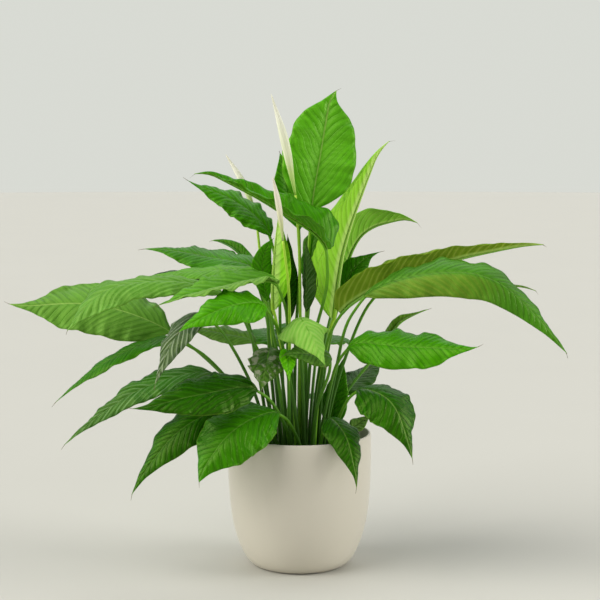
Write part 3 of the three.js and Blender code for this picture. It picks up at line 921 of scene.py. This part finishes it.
class LILY_OT_soil(bpy.types.Operator):
    """Fills the pot with lumpy soil and scatters crumbs on it"""

    bl_idname = "peace_lily.soil"
    bl_label = "Fill with soil"

    def execute(self, context):
        s = context.scene.peace_lily_soil
        bm = bmesh.new()
        bmesh.ops.create_grid(bm, x_segments=90, y_segments=90, size=1.0)
        for v in bm.verts:
            x, y = v.co.x, v.co.y
            flat = Vector((x * math.sqrt(1 - y * y / 2), y * math.sqrt(1 - x * x / 2), 0)) * SOIL_RADIUS
            rise = noise.noise(flat * 55) * s.lumps + noise.noise(flat * 190) * s.lumps * 0.4
            v.co = flat + Vector((0, 0, SOIL_LEVEL + rise - 0.002 * (flat.length / 0.085) ** 2))
        rim = [e for e in bm.edges if e.is_boundary]
        wall = bmesh.ops.extrude_edge_only(bm, edges=rim)
        low = [g for g in wall["geom"] if isinstance(g, bmesh.types.BMVert)]
        for v in low:
            v.co.z = SOIL_UNDERSIDE
            v.co.xy *= 0.985
        bmesh.ops.contextual_create(bm, geom=[g for g in wall["geom"] if isinstance(g, bmesh.types.BMEdge)])
        luck = random.Random(7)
        for _ in range(s.crumbs):
            angle, out = luck.uniform(0, 2 * math.pi), 0.082 * math.sqrt(luck.random())
            size = luck.uniform(0.0008, 0.0026)
            made = bmesh.ops.create_icosphere(bm, subdivisions=1, radius=size)
            at = Vector((out * math.cos(angle), out * math.sin(angle), 0.1366))
            for v in made["verts"]:
                v.co = Vector((v.co.x * 1.3, v.co.y, v.co.z * 0.7)) * (0.75 + 0.5 * luck.random()) + at
        bmesh.ops.recalc_face_normals(bm, faces=bm.faces)
        for face in bm.faces:
            face.smooth = True
        piece_from(bm, "soil_heap", "soil", [soil_mix()])
        return {"FINISHED"}


class LILY_OT_leaves(bpy.types.Operator):
    """Grows every leaf with its stalk, veins and wavy margin"""

    bl_idname = "peace_lily.leaves"
    bl_label = "Grow the leaves"

    def execute(self, context):
        s = context.scene.peace_lily_leaves
        materials = [blade_upper(), blade_under(), stalk_skin()]
        for node in sorted(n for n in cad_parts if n.startswith("leaf_")):
            looks = {**LEAF_TYPICAL, **LEAF_LOOKS.get(node, {})}
            looks["wave"] *= s.wave_scale
            grow_leaf(node, looks, s.steps_across, materials)
        return {"FINISHED"}


class LILY_OT_flowers(bpy.types.Operator):
    """Grows the flower stems and their closed white spathes"""

    bl_idname = "peace_lily.flowers"
    bl_label = "Grow the flowers"

    def execute(self, context):
        s = context.scene.peace_lily_flowers
        stem, petal = flower_stem(), spathe_skin()
        for side, blush in (("front", 0.0), ("left", 0.8), ("back", 0.2)):
            grow_rod("flower_stalk_" + side, "stem_" + side, 12, stem, 0.5, 0.0)
            grow_rod("spathe_" + side, "petal_" + side, 24, petal, blush, s.twist)
        return {"FINISHED"}


class LILY_OT_stage(bpy.types.Operator):
    """Lays the floor and sets the light and the camera"""

    bl_idname = "peace_lily.stage"
    bl_label = "Set the stage"

    def execute(self, context):
        s = context.scene.peace_lily_stage
        scene = context.scene
        bm = bmesh.new()
        bmesh.ops.create_circle(bm, cap_ends=True, segments=96, radius=14.0)
        bmesh.ops.translate(bm, verts=bm.verts, vec=(0, 0, -0.0002))
        mesh = bpy.data.meshes.new("floor")
        bm.to_mesh(mesh)
        bm.free()
        mesh.materials.append(pale_floor())
        floor = bpy.data.objects.new("floor", mesh)
        scene.collection.objects.link(floor)

        world = bpy.data.worlds.new("studio")
        world.use_nodes = True
        tree = world.node_tree
        room = tree.nodes["Background"]
        room.inputs["Color"].default_value = (0.95, 0.98, 1.0, 1.0)
        room.inputs["Strength"].default_value = s.ambient
        wall = tree.nodes.new("ShaderNodeBackground")
        wall.inputs["Color"].default_value = (0.69, 0.705, 0.655, 1.0)
        choose = tree.nodes.new("ShaderNodeMixShader")
        tree.links.new(tree.nodes.new("ShaderNodeLightPath").outputs["Is Camera Ray"], choose.inputs[0])
        tree.links.new(room.outputs[0], choose.inputs[1])
        tree.links.new(wall.outputs[0], choose.inputs[2])
        tree.links.new(choose.outputs[0], tree.nodes["World Output"].inputs["Surface"])
        scene.world = world
        for name, at, power, spread, tint in (
            ("key", (-2.0, -0.95, 2.5), s.key, 55, (1.0, 0.985, 0.955)),
            ("fill", (2.8, -0.45, 1.1), s.fill * 1.25, 34, (1.0, 0.99, 0.97)),
            ("low", (-2.8, -0.35, 0.7), s.fill * 0.8, 40, (1.0, 0.985, 0.95)),
            ("back", (0.5, 1.6, 2.4), s.fill * 0.45, 60, (0.97, 0.99, 1.0)),
        ):
            lamp = bpy.data.lights.new(name, "SUN")
            lamp.energy, lamp.angle, lamp.color = power, math.radians(spread), tint
            holder = bpy.data.objects.new(name, lamp)
            scene.collection.objects.link(holder)
            holder.location = at
            holder.rotation_euler = (Vector((0, 0, 0.2)) - Vector(at)).to_track_quat("-Z", "Y").to_euler()

        lens = bpy.data.cameras.new("camera")
        lens.lens = s.lens
        camera = bpy.data.objects.new("camera", lens)
        scene.collection.objects.link(camera)
        camera.location = (0.0006, -s.distance, s.height)
        camera.rotation_euler = (math.pi / 2 - s.pitch, 0, 0)
        scene.camera = camera
        scene.view_settings.view_transform = "Standard"
        return {"FINISHED"}


class LILY_PT_sidebar(bpy.types.Panel):
    bl_idname = "LILY_PT_sidebar"
    bl_label = "Potted peace lily"
    bl_space_type = "VIEW_3D"
    bl_region_type = "UI"
    bl_category = "Peace lily"

    def draw(self, context):
        for operator, group in OPERATORS:
            box = self.layout.box()
            box.operator(operator.bl_idname)
            settings = getattr(context.scene, group)
            for key in settings.__annotations__:
                box.prop(settings, key)


OPERATORS = [
    (LILY_OT_pot, "peace_lily_pot"), (LILY_OT_soil, "peace_lily_soil"), (LILY_OT_leaves, "peace_lily_leaves"),
    (LILY_OT_flowers, "peace_lily_flowers"), (LILY_OT_stage, "peace_lily_stage"),
]
SETTINGS = {
    "peace_lily_pot": PotSettings, "peace_lily_soil": SoilSettings, "peace_lily_leaves": LeafSettings,
    "peace_lily_flowers": FlowerSettings, "peace_lily_stage": StageSettings,
}
CLASSES = [*SETTINGS.values(), *(operator for operator, _ in OPERATORS), LILY_PT_sidebar]


def register():
    for cls in CLASSES:
        bpy.utils.register_class(cls)
    for name, group in SETTINGS.items():
        setattr(bpy.types.Scene, name, PointerProperty(type=group))


def unregister():
    for name in SETTINGS:
        delattr(bpy.types.Scene, name)
    for cls in reversed(CLASSES):
        bpy.utils.unregister_class(cls)


def main():
    register()
    for operator, _ in OPERATORS:
        group, action = operator.bl_idname.split(".")
        getattr(getattr(bpy.ops, group), action)()
    bpy.context.view_layer.update()


if __name__ == "__main__":
    main()
